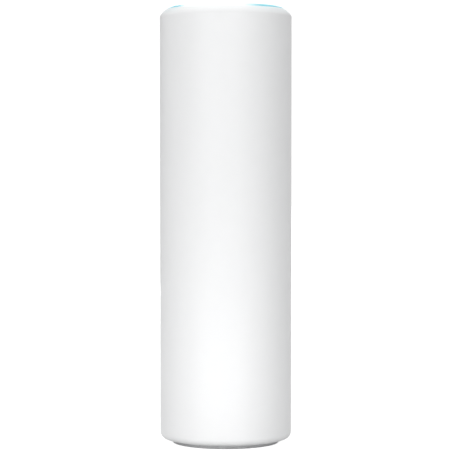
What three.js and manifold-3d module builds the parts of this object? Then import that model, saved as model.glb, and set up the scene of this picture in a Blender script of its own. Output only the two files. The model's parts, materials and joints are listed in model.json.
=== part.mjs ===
// A desk-standing mesh wifi node: an upright white tube with a light ring round its top cap, a rubber foot,
// and a well in its underside that hides the network plug. Inside, a base, a chassis and an antenna lantern
// stack up and slide into the tube from below.
//
// Millimetres, +Z up. The origin is the centre of the foot's resting face, -Y is the front and +Y the back,
// where the network cable leaves.
import * as THREE from "three";
import { mergeVertices } from "three/addons/utils/BufferGeometryUtils.js";
import Module from "manifold-3d";

const wasm = await Module();
wasm.setup();

// ---- Driving dimensions -------------------------------------------------------------------------
const BODY_RADIUS = 24;
const HEIGHT = 159;
const WALL = 2;
const SEGMENTS = 64; // sides of every large turned piece
const MERGE_DISTANCE = 1e-4;

// Shoulder: a soft chamfer, one quarter of a superellipse, from the wall up to the top face.
const SHOULDER = { width: 4.28, height: 3.38, power: 1.6 };

// Foot and the body's underside.
const FOOT = { inner: 15.4, outer: 19.5, standout: 1.5, sunk: 0.7, edge: 0.4 };
const UNDERSIDE = FOOT.standout; // height of the body's flat underside
const BOTTOM_ROUND = { width: 2.2, height: 2.5 };
const CABLE_NOTCH = { halfWidth: 3.5, straight: 3.5, hoodWall: 1.2 };

// Base: a disc that closes the tube, the well that the plug goes up into, and a flange above the well.
const BASE = { radius: 20.6, discTop: 5.5, flangeRadius: 20.2, flangeTop: 30.5 };
const WELL = { radius: 14, wall: 1.2, ceiling: 28, mouthEdge: 0.6 };
const LIP = { radius: 20.8, top: 8.6 }; // the thicker wall round the shell's bottom opening

// Screw bosses on the shell, at 45 degrees between the four antennas. The foot ring hides their screws.
const BOSS = { count: 4, circle: 17.8, radius: 2.3, low: 5.8, high: 13, pilot: 1.2, ribWidth: 1.6 };
const BOSS_PASSAGE = 2.8; // radius of the notch that lets an inner piece slide past a boss
const BASE_SCREW = { seat: 3.55, length: 7.5, recessRadius: 1.9, recessTop: 3.6, holeRadius: 1.35 };

// Network socket and reset button, in the ceiling of the well.
const JACK = { width: 16, depth: 13.4, height: 21.3, face: 27.8 };
const PLUG_CAVITY = { width: 11.9, low: -3.4, high: 3.6, depth: 14 };
const LATCH_WAY = [
  { width: 6.4, rise: 1.4 },
  { width: 3.4, rise: 2.2 },
]; // the plug's latch runs in two steps above the cavity
const LATCH_WAY_DEPTH = PLUG_CAVITY.depth - 3;
const CONTACTS = { count: 8, pitch: 1.02, thickness: 0.4, length: 8.4, slant: 0.24, barFoot: 38.6 };
const GASKET = { width: 17.5, depth: 15, face: 27.6, top: 31.2, clearance: 0.15 };
const RESET = { x: 11, y: 4.9, headRadius: 1.5, shaftRadius: 0.9, clearance: 0.2 };
const SWITCH = { halfWidth: 2.2, depth: 3.3, low: 32.6, height: 3.2, stemRadius: 0.75, stemFoot: 31.1 };

// Circuit board, standing upright behind the socket.
const BOARD = { halfWidth: 17.4, front: 6.8, back: 8.4, low: 31.5, high: 109.5 };
const BOARD_COMPONENT_GAP = 0.05;
const SHIELD_HEIGHT = 2.5;
const CHASSIS_RADIUS = 20.3;
const CHASSIS = { foot: 30.8, footTop: 33, ringLow: 110, ringHigh: 112.5, opening: 12.5 };
const CHASSIS_SCREW_X = 17.7;

// Heat sink in front of the board.
const SINK = { low: 50.5, high: 108.5, front: 0.6, back: 3.1, halfWidth: 16.2, finThickness: 1.5 };
const SINK_FINS = [
  { x: 0, tip: -18.5 },
  { x: 4.4, tip: -18 },
  { x: 8.8, tip: -16.5 },
  { x: 13, tip: -9 },
];
const SINK_POST = { x: 13.6, heights: [53, 106], radius: 2 };

// Antenna lantern above the chassis.
const LANTERN = { low: 112.8, floorTop: 115, roofLow: 148.3, roofHigh: 150.3, opening: 9 };
const LANTERN_SCREWS = [
  [13.3, -5.5],
  [-13.3, 5.5],
];
const LANTERN_POST = { circle: 13.3, radius: 1.2, high: 151.4 }; // carries the light board
const LANTERN_WEB = { inner: 16.4, outer: 17.8, width: 15 };
const ANTENNA = { width: 14, height: 31, thickness: 0.5, radius: 18, low: 116 };

// Coaxial leads from the radios at the top of the board to the foot of each antenna.
const FEED_HEIGHT = 119;
const LEAD_RADIUS = 0.55;
const LEAD_END = 17.7;
const LEAD_ROUTES = {
  front: [
    [-4.6, 5.3, 103],
    [-4.4, 4.8, 110],
    [-3.6, 0, 117],
    [-2, -9, 119],
    [0, -LEAD_END, FEED_HEIGHT],
  ],
  back: [
    [4.6, 5.3, 103],
    [4.6, 5.3, 110],
    [4.4, 7, 116],
    [1.6, 12.5, 119],
    [0, LEAD_END, FEED_HEIGHT],
  ],
  left: [
    [-7, 5.3, 103],
    [-7, 4.8, 110],
    [-7.2, 3.4, 115.6],
    [-11.6, 1, 118.8],
    [-LEAD_END, 0, FEED_HEIGHT],
  ],
  right: [
    [7, 5.3, 103],
    [7, 4.8, 110],
    [7.2, 3.4, 115.6],
    [11.6, 1, 118.8],
    [LEAD_END, 0, FEED_HEIGHT],
  ],
};

// Flat lead of the light board: straight up at y, bent over the lantern's roof, and back to y = end.
const FLAT_LEAD = { width: 5, thickness: 0.3, y: 6, low: 108.1, bend: 2.4, top: 151.05, end: 14.5 };

// Top: the light ring sits in a seat in the shell, over the light board, and the cap sits in the ring.
const RING = { outer: 21.25, seat: 21.4, inner: 18.75, skirtOuter: 18.6, skirtInner: 16.9 };
const RING_LEVEL = { ledge: 156.4, flange: 156.9, shelf: 157.1, skirtFoot: 154.3 };
const LEDGE = { radius: 19.2, underside: 154.8, wallTop: 152.2 };
const RING_GASKET = { inner: 19.4, outer: 20.8, clearance: 0.05 };
const CAP = { radius: 18.6, low: 157.25, rimTop: 158.85, crown: 158.95, edge: 0.3 };
const CAP_SNAP = { inner: 15.6, outer: 16.7, foot: 155.2 }; // the rim that snaps into the ring's skirt
const LIGHT_BOARD = { inner: 12, outer: 18.9, low: 151.5, high: 152.7 };
const LIGHT = { count: 8, circle: 17.75, size: 2, height: 0.8 };

const SCREW = { headRadius: 1.7, headHeight: 1.2, shankRadius: 1, slot: 0.5, slotDepth: 0.6 };

// ---- Materials ----------------------------------------------------------------------------------
const material = (color, roughness, metalness = 0) =>
  new THREE.MeshStandardMaterial({ color, roughness, metalness });
const WHITE_PLASTIC = material(0xf1f2f3, 0.5);
const DIFFUSER = new THREE.MeshStandardMaterial({
  color: 0xe8f6fa,
  roughness: 0.35,
  emissive: 0x2bb4e8,
  emissiveIntensity: 0.6,
});
const BASE_PLASTIC = material(0xd9dbdd, 0.6);
const GREY_RUBBER = material(0x8f9194, 0.85);
const BLACK_RUBBER = material(0x1c1d1f, 0.8);
const BLACK_PLASTIC = material(0x26282b, 0.55);
const IVORY_PLASTIC = material(0xcfd0cc, 0.6);
const SOLDER_MASK = material(0x14532d, 0.4);
const TINNED_STEEL = material(0xb9bcc0, 0.35, 0.9);
const NICKEL = material(0xc4c2bb, 0.3, 1);
const GOLD = material(0xd9b25a, 0.25, 1);
const ALUMINIUM = material(0x9fa3a7, 0.5, 0.9);
const SCREW_STEEL = material(0x8d9094, 0.35, 1);
const PAD_SILICONE = material(0x9aa7bd, 0.9);
const FERRITE = material(0x33353a, 0.7);
const SLEEVE = material(0x24303f, 0.45);
const RIBBON = material(0xe8e8e4, 0.5);
const COAX_JACKET = material(0x3a3c40, 0.5);
const LIGHT_PACKAGE = material(0xf4f2e6, 0.4);

// ---- Geometry helpers ---------------------------------------------------------------------------
// A closed three.js geometry as a solid that can be joined and cut.
function solid(geometry) {
  const bare = geometry.index ? geometry.toNonIndexed() : geometry.clone();
  bare.deleteAttribute("normal");
  bare.deleteAttribute("uv");
  const merged = mergeVertices(bare, MERGE_DISTANCE);
  const corners = merged.index.array;
  const kept = [];
  for (let i = 0; i < corners.length; i += 3) {
    const [a, b, c] = corners.slice(i, i + 3);
    if (a !== b && b !== c && c !== a) kept.push(a, b, c);
  }
  return new wasm.Manifold(
    new wasm.Mesh({
      numProp: 3,
      vertProperties: merged.attributes.position.array,
      triVerts: new Uint32Array(kept),
    }),
  );
}

function geometryOf(made) {
  const { vertProperties, triVerts } = made.getMesh();
  const geometry = new THREE.BufferGeometry();
  geometry.setAttribute("position", new THREE.BufferAttribute(new Float32Array(vertProperties), 3));
  geometry.setIndex(new THREE.BufferAttribute(new Uint32Array(triVerts), 1));
  geometry.computeVertexNormals();
  return geometry;
}

const turnedTo = (made, angle) => made.rotate([0, 0, THREE.MathUtils.radToDeg(angle)]);
const joined = (solids) => solids.reduce((whole, next) => whole.add(next));
const cut = (whole, cutters) => cutters.reduce((left, cutter) => left.subtract(cutter), whole);

// A piece turned about Z from a profile of [radius, height] points, its outside running upwards.
function turned(profile, segments = SEGMENTS) {
  const points = profile.map(([radius, height]) => new THREE.Vector2(radius, height));
  return new THREE.LatheGeometry(points, segments).rotateX(Math.PI / 2);
}

const closed = (profile) => [...profile, profile[0]];

function annulus(inner, outer, low, high, segments = SEGMENTS) {
  return turned(
    closed([
      [inner, low],
      [outer, low],
      [outer, high],
      [inner, high],
    ]),
    segments,
  );
}

function box([x0, y0, z0], [x1, y1, z1]) {
  return new THREE.BoxGeometry(x1 - x0, y1 - y0, z1 - z0).translate(
    (x0 + x1) / 2,
    (y0 + y1) / 2,
    (z0 + z1) / 2,
  );
}

function rod(radius, low, high, x = 0, y = 0, segments = 16) {
  return new THREE.CylinderGeometry(radius, radius, high - low, segments)
    .rotateX(Math.PI / 2)
    .translate(x, y, (low + high) / 2);
}

// A rod along Y, centred on (x, z).
function crossRod(radius, low, high, x, z, segments = 16) {
  return new THREE.CylinderGeometry(radius, radius, high - low, segments).translate(x, (low + high) / 2, z);
}

function roundedRectangle(width, height, radius) {
  const [w, h] = [width / 2, height / 2];
  const shape = new THREE.Shape();
  shape.moveTo(-w + radius, -h);
  shape.lineTo(w - radius, -h);
  shape.absarc(w - radius, -h + radius, radius, -Math.PI / 2, 0);
  shape.lineTo(w, h - radius);
  shape.absarc(w - radius, h - radius, radius, 0, Math.PI / 2);
  shape.lineTo(-w + radius, h);
  shape.absarc(-w + radius, h - radius, radius, Math.PI / 2, Math.PI);
  shape.lineTo(-w, -h + radius);
  shape.absarc(-w + radius, -h + radius, radius, Math.PI, 1.5 * Math.PI);
  return shape;
}

function rectanglePath(x0, y0, x1, y1) {
  const path = new THREE.Path();
  path.moveTo(x0, y0);
  path.lineTo(x1, y0);
  path.lineTo(x1, y1);
  path.lineTo(x0, y1);
  path.closePath();
  return path;
}

// A shape in the XY plane pushed up from one height to another.
function pushedUp(shape, low, high, curveSegments = 4) {
  return new THREE.ExtrudeGeometry(shape, {
    depth: high - low,
    bevelEnabled: false,
    curveSegments,
  }).translate(0, 0, low);
}

// A shape drawn in X and Z, pushed from one Y to another.
function pushedBack(shape, front, back, curveSegments = 4) {
  return new THREE.ExtrudeGeometry(shape, { depth: back - front, bevelEnabled: false, curveSegments })
    .rotateX(Math.PI / 2)
    .translate(0, back, 0);
}

// The angles, counted from +X, of pieces spread evenly round the axis.
const evenly = (count, start = 0) =>
  Array.from({ length: count }, (_, i) => start + (i * 2 * Math.PI) / count);
const onCircle = (radius, angle) => [radius * Math.cos(angle), radius * Math.sin(angle)];
const BOSS_ANGLES = evenly(BOSS.count, Math.PI / 4);

function mesh(name, shape, look, place = [0, 0, 0], turn = [0, 0, 0]) {
  const geometry = shape instanceof wasm.Manifold ? geometryOf(shape) : shape;
  const made = new THREE.Mesh(geometry, look);
  made.name = name;
  made.position.set(...place);
  made.rotation.set(...turn);
  return made;
}

function group(...members) {
  const made = new THREE.Group();
  made.add(...members.flat());
  return made;
}

// ---- Shared cutters -----------------------------------------------------------------------------
// Points of the shoulder from the angle where it meets the wall (0) to the top face (a quarter turn).
function shoulder(from, to, steps) {
  return Array.from({ length: steps + 1 }, (_, i) => {
    const angle = from + ((to - from) * i) / steps;
    return [
      BODY_RADIUS - SHOULDER.width * (1 - Math.max(0, Math.cos(angle)) ** SHOULDER.power),
      HEIGHT - SHOULDER.height * (1 - Math.sin(angle) ** SHOULDER.power),
    ];
  });
}

function shoulderAngleAt(radius) {
  return Math.acos((1 - (BODY_RADIUS - radius) / SHOULDER.width) ** (1 / SHOULDER.power));
}

// An arch drawn in X and Z, pushed from one Y to another.
function arch(halfWidth, low, front, back) {
  const shape = new THREE.Shape();
  shape.moveTo(-halfWidth, low);
  shape.lineTo(halfWidth, low);
  shape.lineTo(halfWidth, CABLE_NOTCH.straight);
  shape.absarc(0, CABLE_NOTCH.straight, halfWidth, 0, Math.PI);
  shape.closePath();
  return solid(pushedBack(shape, front, back, 8));
}

// The way that the cable takes from the well to the back.
const cableNotch = () => arch(CABLE_NOTCH.halfWidth, -1, WELL.radius / 2, BODY_RADIUS + 1);

const bossPassages = (low, high) =>
  BOSS_ANGLES.map((angle) => solid(rod(BOSS_PASSAGE, low, high, ...onCircle(BOSS.circle, angle))));

// ---- Shell --------------------------------------------------------------------------------------
function outerShell() {
  const rounding = 4;
  const bottom = Array.from({ length: rounding + 1 }, (_, i) => {
    const angle = (i / rounding) * (Math.PI / 2);
    return [
      BODY_RADIUS - BOTTOM_ROUND.width * (1 - Math.sin(angle)),
      UNDERSIDE + BOTTOM_ROUND.height * (1 - Math.cos(angle)),
    ];
  });
  const tube = turned(
    closed([
      [LIP.radius, UNDERSIDE],
      ...bottom,
      ...shoulder(0, shoulderAngleAt(RING.seat), 5),
      [RING.seat, RING_LEVEL.ledge],
      [LEDGE.radius, RING_LEVEL.ledge],
      [LEDGE.radius, LEDGE.underside],
      [BODY_RADIUS - WALL, LEDGE.wallTop],
      [BODY_RADIUS - WALL, LIP.top + 1.2],
      [LIP.radius, LIP.top],
    ]),
  );
  const bosses = BOSS_ANGLES.map((angle) => {
    const post = solid(rod(BOSS.radius, BOSS.low, BOSS.high));
    const half = BOSS.ribWidth / 2;
    const wall = BODY_RADIUS - WALL + 0.5 - BOSS.circle;
    const rib = solid(box([1, -half, BOSS.low], [wall, half, BOSS.high]));
    const [x, y] = onCircle(BOSS.circle, angle);
    return turnedTo(post.add(rib), angle).translate([x, y, 0]);
  });
  const pilots = BOSS_ANGLES.map((angle) =>
    solid(rod(BOSS.pilot, BOSS.low - 1, BOSS.high - 1, ...onCircle(BOSS.circle, angle), 10)),
  );
  return cut(joined([solid(tube), ...bosses]), [...pilots, cableNotch()]);
}

// ---- Top ----------------------------------------------------------------------------------------
function lightRing() {
  return turned(
    closed([
      [RING.skirtInner, RING_LEVEL.skirtFoot],
      [RING.skirtOuter, RING_LEVEL.skirtFoot],
      [RING.skirtOuter, RING_LEVEL.flange],
      [RING.outer, RING_LEVEL.flange],
      ...shoulder(shoulderAngleAt(RING.outer), Math.PI / 2, 3),
      [RING.inner, HEIGHT],
      [RING.inner, RING_LEVEL.shelf],
      [RING.skirtInner, RING_LEVEL.shelf],
    ]),
  );
}

function topCap() {
  return turned([
    [0, CAP.low],
    [CAP_SNAP.inner, CAP.low],
    [CAP_SNAP.inner, CAP_SNAP.foot],
    [CAP_SNAP.outer, CAP_SNAP.foot],
    [CAP_SNAP.outer, CAP.low],
    [CAP.radius, CAP.low],
    [CAP.radius, CAP.rimTop - CAP.edge],
    [CAP.radius - CAP.edge, CAP.rimTop],
    [0, CAP.crown],
  ]);
}

function ringGasket() {
  const { inner, outer, clearance } = RING_GASKET;
  return annulus(inner, outer, RING_LEVEL.ledge + clearance, RING_LEVEL.flange - clearance, 48);
}

function lights() {
  const half = LIGHT.size / 2;
  const low = LIGHT_BOARD.high + 0.1;
  return evenly(LIGHT.count, Math.PI / LIGHT.count).map((angle, i) =>
    mesh(
      `light_${i + 1}`,
      box([-half, -half, 0], [half, half, LIGHT.height]),
      LIGHT_PACKAGE,
      [...onCircle(LIGHT.circle, angle), low],
      [0, 0, angle],
    ),
  );
}

function topAssembly() {
  const { inner, outer, low, high } = LIGHT_BOARD;
  return group(
    mesh("top_cap", topCap(), WHITE_PLASTIC),
    mesh("light_ring", lightRing(), DIFFUSER),
    mesh("ring_gasket", ringGasket(), BLACK_RUBBER),
    mesh("light_board", annulus(inner, outer, low, high, 48), SOLDER_MASK),
    lights(),
  );
}

// ---- Fasteners ----------------------------------------------------------------------------------
// A cross-head screw with its head's seat at z = 0, the head above it and the shank below.
function screw(length) {
  const { headRadius, headHeight, shankRadius, slot, slotDepth } = SCREW;
  const whole = solid(
    turned(
      [
        [0, -length],
        [shankRadius, -length],
        [shankRadius, 0],
        [headRadius, 0],
        [headRadius, headHeight * 0.6],
        [headRadius * 0.75, headHeight],
        [0, headHeight],
      ],
      12,
    ),
  );
  const [half, floor] = [headRadius * 0.6, headHeight - slotDepth];
  return cut(whole, [
    solid(box([-half, -slot / 2, floor], [half, slot / 2, headHeight + 1])),
    solid(box([-slot / 2, -half, floor], [slot / 2, half, headHeight + 1])),
  ]);
}

// ---- Base ---------------------------------------------------------------------------------------
function baseHousing() {
  const groove = { inner: FOOT.inner - 0.2, outer: FOOT.outer + 0.2, top: UNDERSIDE + FOOT.sunk + 0.1 };
  const turnedBody = solid(
    turned([
      [0, WELL.ceiling],
      [WELL.radius, WELL.ceiling],
      [WELL.radius, UNDERSIDE + WELL.mouthEdge],
      [WELL.radius + WELL.mouthEdge, UNDERSIDE],
      [groove.inner, UNDERSIDE],
      [groove.inner, groove.top],
      [groove.outer, groove.top],
      [groove.outer, UNDERSIDE],
      [BASE.radius, UNDERSIDE],
      [BASE.radius, BASE.discTop],
      [WELL.radius + WELL.wall, BASE.discTop],
      [WELL.radius + WELL.wall, WELL.ceiling],
      [BASE.flangeRadius, WELL.ceiling],
      [BASE.flangeRadius, BASE.flangeTop],
      [0, BASE.flangeTop],
    ]),
  );
  // A hood over the cable notch, clipped to the disc's round edge.
  const hoodHalf = CABLE_NOTCH.halfWidth + CABLE_NOTCH.hoodWall;
  const hood = arch(hoodHalf, UNDERSIDE + 2, WELL.radius + 0.5, BASE.radius).intersect(
    solid(rod(BASE.radius, 0, WELL.ceiling, 0, 0, SEGMENTS)),
  );
  // Four stiffening ribs up the outside of the well; the rear one stands on the hood.
  const rib = box([WELL.radius + 0.6, -0.7, BASE.discTop - 0.1], [19.2, 0.7, WELL.ceiling + 0.1]);
  const ribs = evenly(4).map((angle) => turnedTo(solid(rib), angle));
  const screwHoles = BOSS_ANGLES.flatMap((angle) => {
    const place = onCircle(BOSS.circle, angle);
    return [
      solid(rod(BASE_SCREW.holeRadius, 0, BASE.discTop + 1, ...place)),
      solid(rod(BASE_SCREW.recessRadius, 0, BASE_SCREW.recessTop, ...place)),
    ];
  });
  const portHole = roundedRectangle(GASKET.width + 0.2, GASKET.depth + 0.2, 1.2);
  const { x, y, clearance, shaftRadius, headRadius } = RESET;
  const resetHole = [
    solid(rod(shaftRadius + clearance, WELL.ceiling - 1, BASE.flangeTop + 1, x, y)),
    solid(rod(headRadius + clearance, WELL.ceiling - 1, WELL.ceiling + 1.3, x, y)),
  ];
  const chassisScrewHoles = [-1, 1].map((side) =>
    solid(rod(1.15, WELL.ceiling + 0.4, BASE.flangeTop + 1, side * CHASSIS_SCREW_X, 0, 10)),
  );
  return cut(joined([turnedBody, hood, ...ribs]), [
    ...screwHoles,
    ...bossPassages(WELL.ceiling - 1, BASE.flangeTop + 1),
    solid(pushedUp(portHole, WELL.ceiling - 1, BASE.flangeTop + 1)),
    ...resetHole,
    ...chassisScrewHoles,
    cableNotch(),
  ]);
}

function footRing() {
  const top = UNDERSIDE + FOOT.sunk;
  const ring = turned(
    closed([
      [FOOT.inner + FOOT.edge, 0],
      [FOOT.outer - FOOT.edge, 0],
      [FOOT.outer, FOOT.edge],
      [FOOT.outer, top],
      [FOOT.inner, top],
      [FOOT.inner, FOOT.edge],
    ]),
  );
  return solid(ring).subtract(cableNotch());
}

function portGasket() {
  const frame = roundedRectangle(GASKET.width, GASKET.depth, 1.1);
  const [w, d] = [JACK.width / 2 + GASKET.clearance, JACK.depth / 2 + GASKET.clearance];
  frame.holes.push(rectanglePath(-w, -d, w, d));
  return pushedUp(frame, GASKET.face, GASKET.top);
}

// The button's head sits in the ceiling of the well. A collar above the ceiling keeps it from dropping out.
function resetButton() {
  const { headRadius, shaftRadius } = RESET;
  const level = { face: -0.5, head: 0.6, collar: 2.8, top: 3 };
  return turned(
    [
      [0, level.face],
      [headRadius - 0.3, level.face],
      [headRadius, level.face + 0.3],
      [headRadius, level.head],
      [shaftRadius, level.head],
      [shaftRadius, level.collar],
      [headRadius - 0.2, level.collar],
      [headRadius - 0.2, level.top],
      [0, level.top],
    ],
    20,
  );
}

function baseAssembly() {
  const screws = BOSS_ANGLES.map((angle, i) =>
    mesh(
      `base_screw_${i + 1}`,
      screw(BASE_SCREW.length),
      SCREW_STEEL,
      [...onCircle(BOSS.circle, angle), BASE_SCREW.seat],
      [Math.PI, 0, angle],
    ),
  );
  return group(
    mesh("base_housing", baseHousing(), BASE_PLASTIC),
    mesh("foot_ring", footRing(), GREY_RUBBER),
    mesh("port_gasket", portGasket(), BLACK_RUBBER),
    mesh("reset_button", resetButton(), BLACK_PLASTIC, [RESET.x, RESET.y, WELL.ceiling]),
    screws,
  );
}

// ---- Network socket and reset switch ------------------------------------------------------------
function networkJack() {
  const { width, depth, height, face } = JACK;
  const top = face + PLUG_CAVITY.depth;
  const body = solid(box([-width / 2, -depth / 2, face], [width / 2, depth / 2, face + height]));
  const half = PLUG_CAVITY.width / 2;
  return cut(body, [
    solid(box([-half, PLUG_CAVITY.low, face - 1], [half, PLUG_CAVITY.high, top])),
    ...LATCH_WAY.map((step) =>
      solid(
        box(
          [-step.width / 2, PLUG_CAVITY.high - 1, face - 1],
          [step.width / 2, PLUG_CAVITY.high + step.rise, face + LATCH_WAY_DEPTH],
        ),
      ),
    ),
  ]);
}

// Eight sprung wires on one bar, at the pitch of the plug's blades, slanting down across the mouth.
function jackContacts() {
  const { count, pitch, thickness, length, slant, barFoot } = CONTACTS;
  const half = thickness / 2;
  const bar = solid(box([-4.6, -3.2, barFoot], [4.6, -0.9, barFoot + 2]));
  const wires = Array.from({ length: count }, (_, i) => {
    const blank = box([-half, -half, -length], [half, half, 0.5]);
    return solid(blank.rotateX(-slant).translate((i - (count - 1) / 2) * pitch, -1.2, barFoot));
  });
  return joined([bar, ...wires]);
}

function resetSwitch() {
  const back = BOARD.front - BOARD_COMPONENT_GAP;
  const body = box(
    [RESET.x - SWITCH.halfWidth, back - SWITCH.depth, SWITCH.low],
    [RESET.x + SWITCH.halfWidth, back, SWITCH.low + SWITCH.height],
  );
  const bore = rod(SWITCH.stemRadius + 0.2, SWITCH.low - 1, SWITCH.low + 2.2, RESET.x, RESET.y, 12);
  return solid(body).subtract(solid(bore));
}

function resetSwitchStem() {
  return rod(SWITCH.stemRadius, SWITCH.stemFoot, SWITCH.low + 1.2, RESET.x, RESET.y, 12);
}

// ---- Main board ---------------------------------------------------------------------------------
function mainBoard() {
  const { halfWidth, front, back, low, high } = BOARD;
  const plate = solid(box([-halfWidth, front, low], [halfWidth, back, high]));
  const holes = sinkPosts().map(([x, z]) => solid(crossRod(1.3, front - 1, back + 1, x, z, 12)));
  return cut(plate, holes);
}

// A can or moulded block that stands on the board's front face, given by its two corners in X and Z.
function onFront(x0, z0, x1, z1, height, corner = 0.8) {
  const outline = roundedRectangle(x1 - x0, z1 - z0, corner);
  const front = BOARD.front - BOARD_COMPONENT_GAP - height;
  return pushedBack(outline, front, front + height, 2).translate((x0 + x1) / 2, 0, (z0 + z1) / 2);
}

function onBack(x0, z0, x1, z1, height, corner = 0.8) {
  const outline = roundedRectangle(x1 - x0, z1 - z0, corner);
  const front = BOARD.back + BOARD_COMPONENT_GAP;
  return pushedBack(outline, front, front + height, 2).translate((x0 + x1) / 2, 0, (z0 + z1) / 2);
}

function capacitor(x, z) {
  const foot = BOARD.back + BOARD_COMPONENT_GAP;
  return crossRod(4, foot, foot + 9, x, z, 20);
}

function boardAssembly() {
  return group(
    mesh("main_board", mainBoard(), SOLDER_MASK),
    mesh("network_jack", networkJack(), TINNED_STEEL),
    mesh("jack_contacts", jackContacts(), GOLD),
    mesh("reset_switch", resetSwitch(), BLACK_PLASTIC),
    mesh("reset_switch_stem", resetSwitchStem(), IVORY_PLASTIC),
    mesh("processor_shield", onFront(-13, 57, 13, 78, SHIELD_HEIGHT), TINNED_STEEL),
    mesh("radio_shield_left", onFront(-14, 82, -0.8, 102.5, SHIELD_HEIGHT), TINNED_STEEL),
    mesh("radio_shield_right", onFront(0.8, 82, 14, 102.5, SHIELD_HEIGHT), TINNED_STEEL),
    mesh("ribbon_connector", onFront(-3.2, 104.6, 3.2, 107.8, 1.5, 0.3), IVORY_PLASTIC),
    mesh("power_transformer", onBack(-7, 52, 7, 65, 7.6, 1.2), FERRITE),
    mesh("power_inductor", onBack(-5, 93, 5, 103, 5, 1.5), FERRITE),
    mesh("capacitor_left", capacitor(-5.2, 80), SLEEVE),
    mesh("capacitor_right", capacitor(5.2, 80), SLEEVE),
  );
}

// ---- Heat sink ----------------------------------------------------------------------------------
function sinkPosts() {
  return SINK_POST.heights.flatMap((z) => [-SINK_POST.x, SINK_POST.x].map((x) => [x, z]));
}

function heatSink() {
  const { low, high, front, back, halfWidth, finThickness } = SINK;
  const plate = solid(box([-halfWidth, front, low], [halfWidth, back, high]));
  const fins = SINK_FINS.flatMap(({ x, tip }) =>
    (x === 0 ? [0] : [-x, x]).map((at) =>
      solid(box([at - finThickness / 2, tip, low], [at + finThickness / 2, front + 0.1, high])),
    ),
  );
  const posts = sinkPosts().map(([x, z]) =>
    solid(crossRod(SINK_POST.radius, back - 0.1, BOARD.front - 0.1, x, z)),
  );
  const pilots = sinkPosts().map(([x, z]) => solid(crossRod(1.15, back - 1.5, BOARD.front + 1, x, z, 10)));
  return cut(joined([plate, ...fins, ...posts]), pilots);
}

// A soft pad that fills the space between a shield and the heat sink.
function thermalPad(x0, z0, x1, z1) {
  const back = BOARD.front - BOARD_COMPONENT_GAP - SHIELD_HEIGHT;
  return box([x0, SINK.back + 0.05, z0], [x1, back - 0.05, z1]);
}

function heatSinkAssembly() {
  const screws = sinkPosts().map(([x, z], i) =>
    mesh(
      `heat_sink_screw_${i + 1}`,
      screw(6),
      SCREW_STEEL,
      [x, BOARD.back + BOARD_COMPONENT_GAP, z],
      [-Math.PI / 2, 0, 0],
    ),
  );
  return group(
    mesh("heat_sink", heatSink(), ALUMINIUM),
    mesh("processor_pad", thermalPad(-9, 60, 9, 75), PAD_SILICONE),
    mesh("radio_pad", thermalPad(-11, 86, 11, 99), PAD_SILICONE),
    screws,
  );
}

// ---- Chassis ------------------------------------------------------------------------------------
// Two upright channels hold the board's edges, tied by two bars behind the board and a ring above it.
function chassisFrame() {
  const { foot, footTop, ringLow, ringHigh, opening } = CHASSIS;
  const channel = { inner: 16.2, front: 5.3, back: 10.2 };
  const boardSlot = {
    low: [channel.inner - 1, BOARD.front - 0.15, BOARD.low - 0.2],
    high: [BOARD.halfWidth + 0.25, BOARD.back + 0.15, ringLow],
  };
  const mirrored = (x0, y0, z0, x1, y1, z1) => [
    solid(box([x0, y0, z0], [x1, y1, z1])),
    solid(box([-x1, y0, z0], [-x0, y1, z1])),
  ];
  const within = solid(rod(CHASSIS_RADIUS, foot - 1, ringHigh + 1, 0, 0, SEGMENTS));
  const bar = (low, high) => solid(box([-17, BOARD.back + 0.5, low], [17, channel.back, high]));
  const frame = joined([
    ...mirrored(channel.inner, channel.front, foot, CHASSIS_RADIUS, channel.back, ringLow + 0.2),
    ...mirrored(15, -4, foot, CHASSIS_RADIUS, channel.front + 0.1, footTop),
    bar(foot, footTop),
    bar(68, 71),
  ]);
  const ring = solid(annulus(opening, CHASSIS_RADIUS, ringLow, ringHigh));
  return cut(frame.intersect(within).add(ring), [
    ...mirrored(...boardSlot.low, ...boardSlot.high),
    ...[-1, 1].map((side) => solid(rod(1.2, foot - 1, footTop + 1, side * CHASSIS_SCREW_X, 0, 10))),
    ...LANTERN_SCREWS.map(([x, y]) => solid(rod(1.15, ringLow - 1, ringHigh + 1, x, y, 10))),
    ...bossPassages(ringLow - 1, ringHigh + 1),
  ]);
}

function chassisAssembly() {
  const screws = [-1, 1].map((side) =>
    mesh(`chassis_screw_${side < 0 ? "left" : "right"}`, screw(4), SCREW_STEEL, [
      side * CHASSIS_SCREW_X,
      0,
      CHASSIS.footTop + 0.05,
    ]),
  );
  return group(mesh("chassis_frame", chassisFrame(), BLACK_PLASTIC), screws);
}

// ---- Antenna lantern ----------------------------------------------------------------------------
const ANTENNA_SIDES = [
  ["right", 0],
  ["back", Math.PI / 2],
  ["left", Math.PI],
  ["front", -Math.PI / 2],
];

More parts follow.
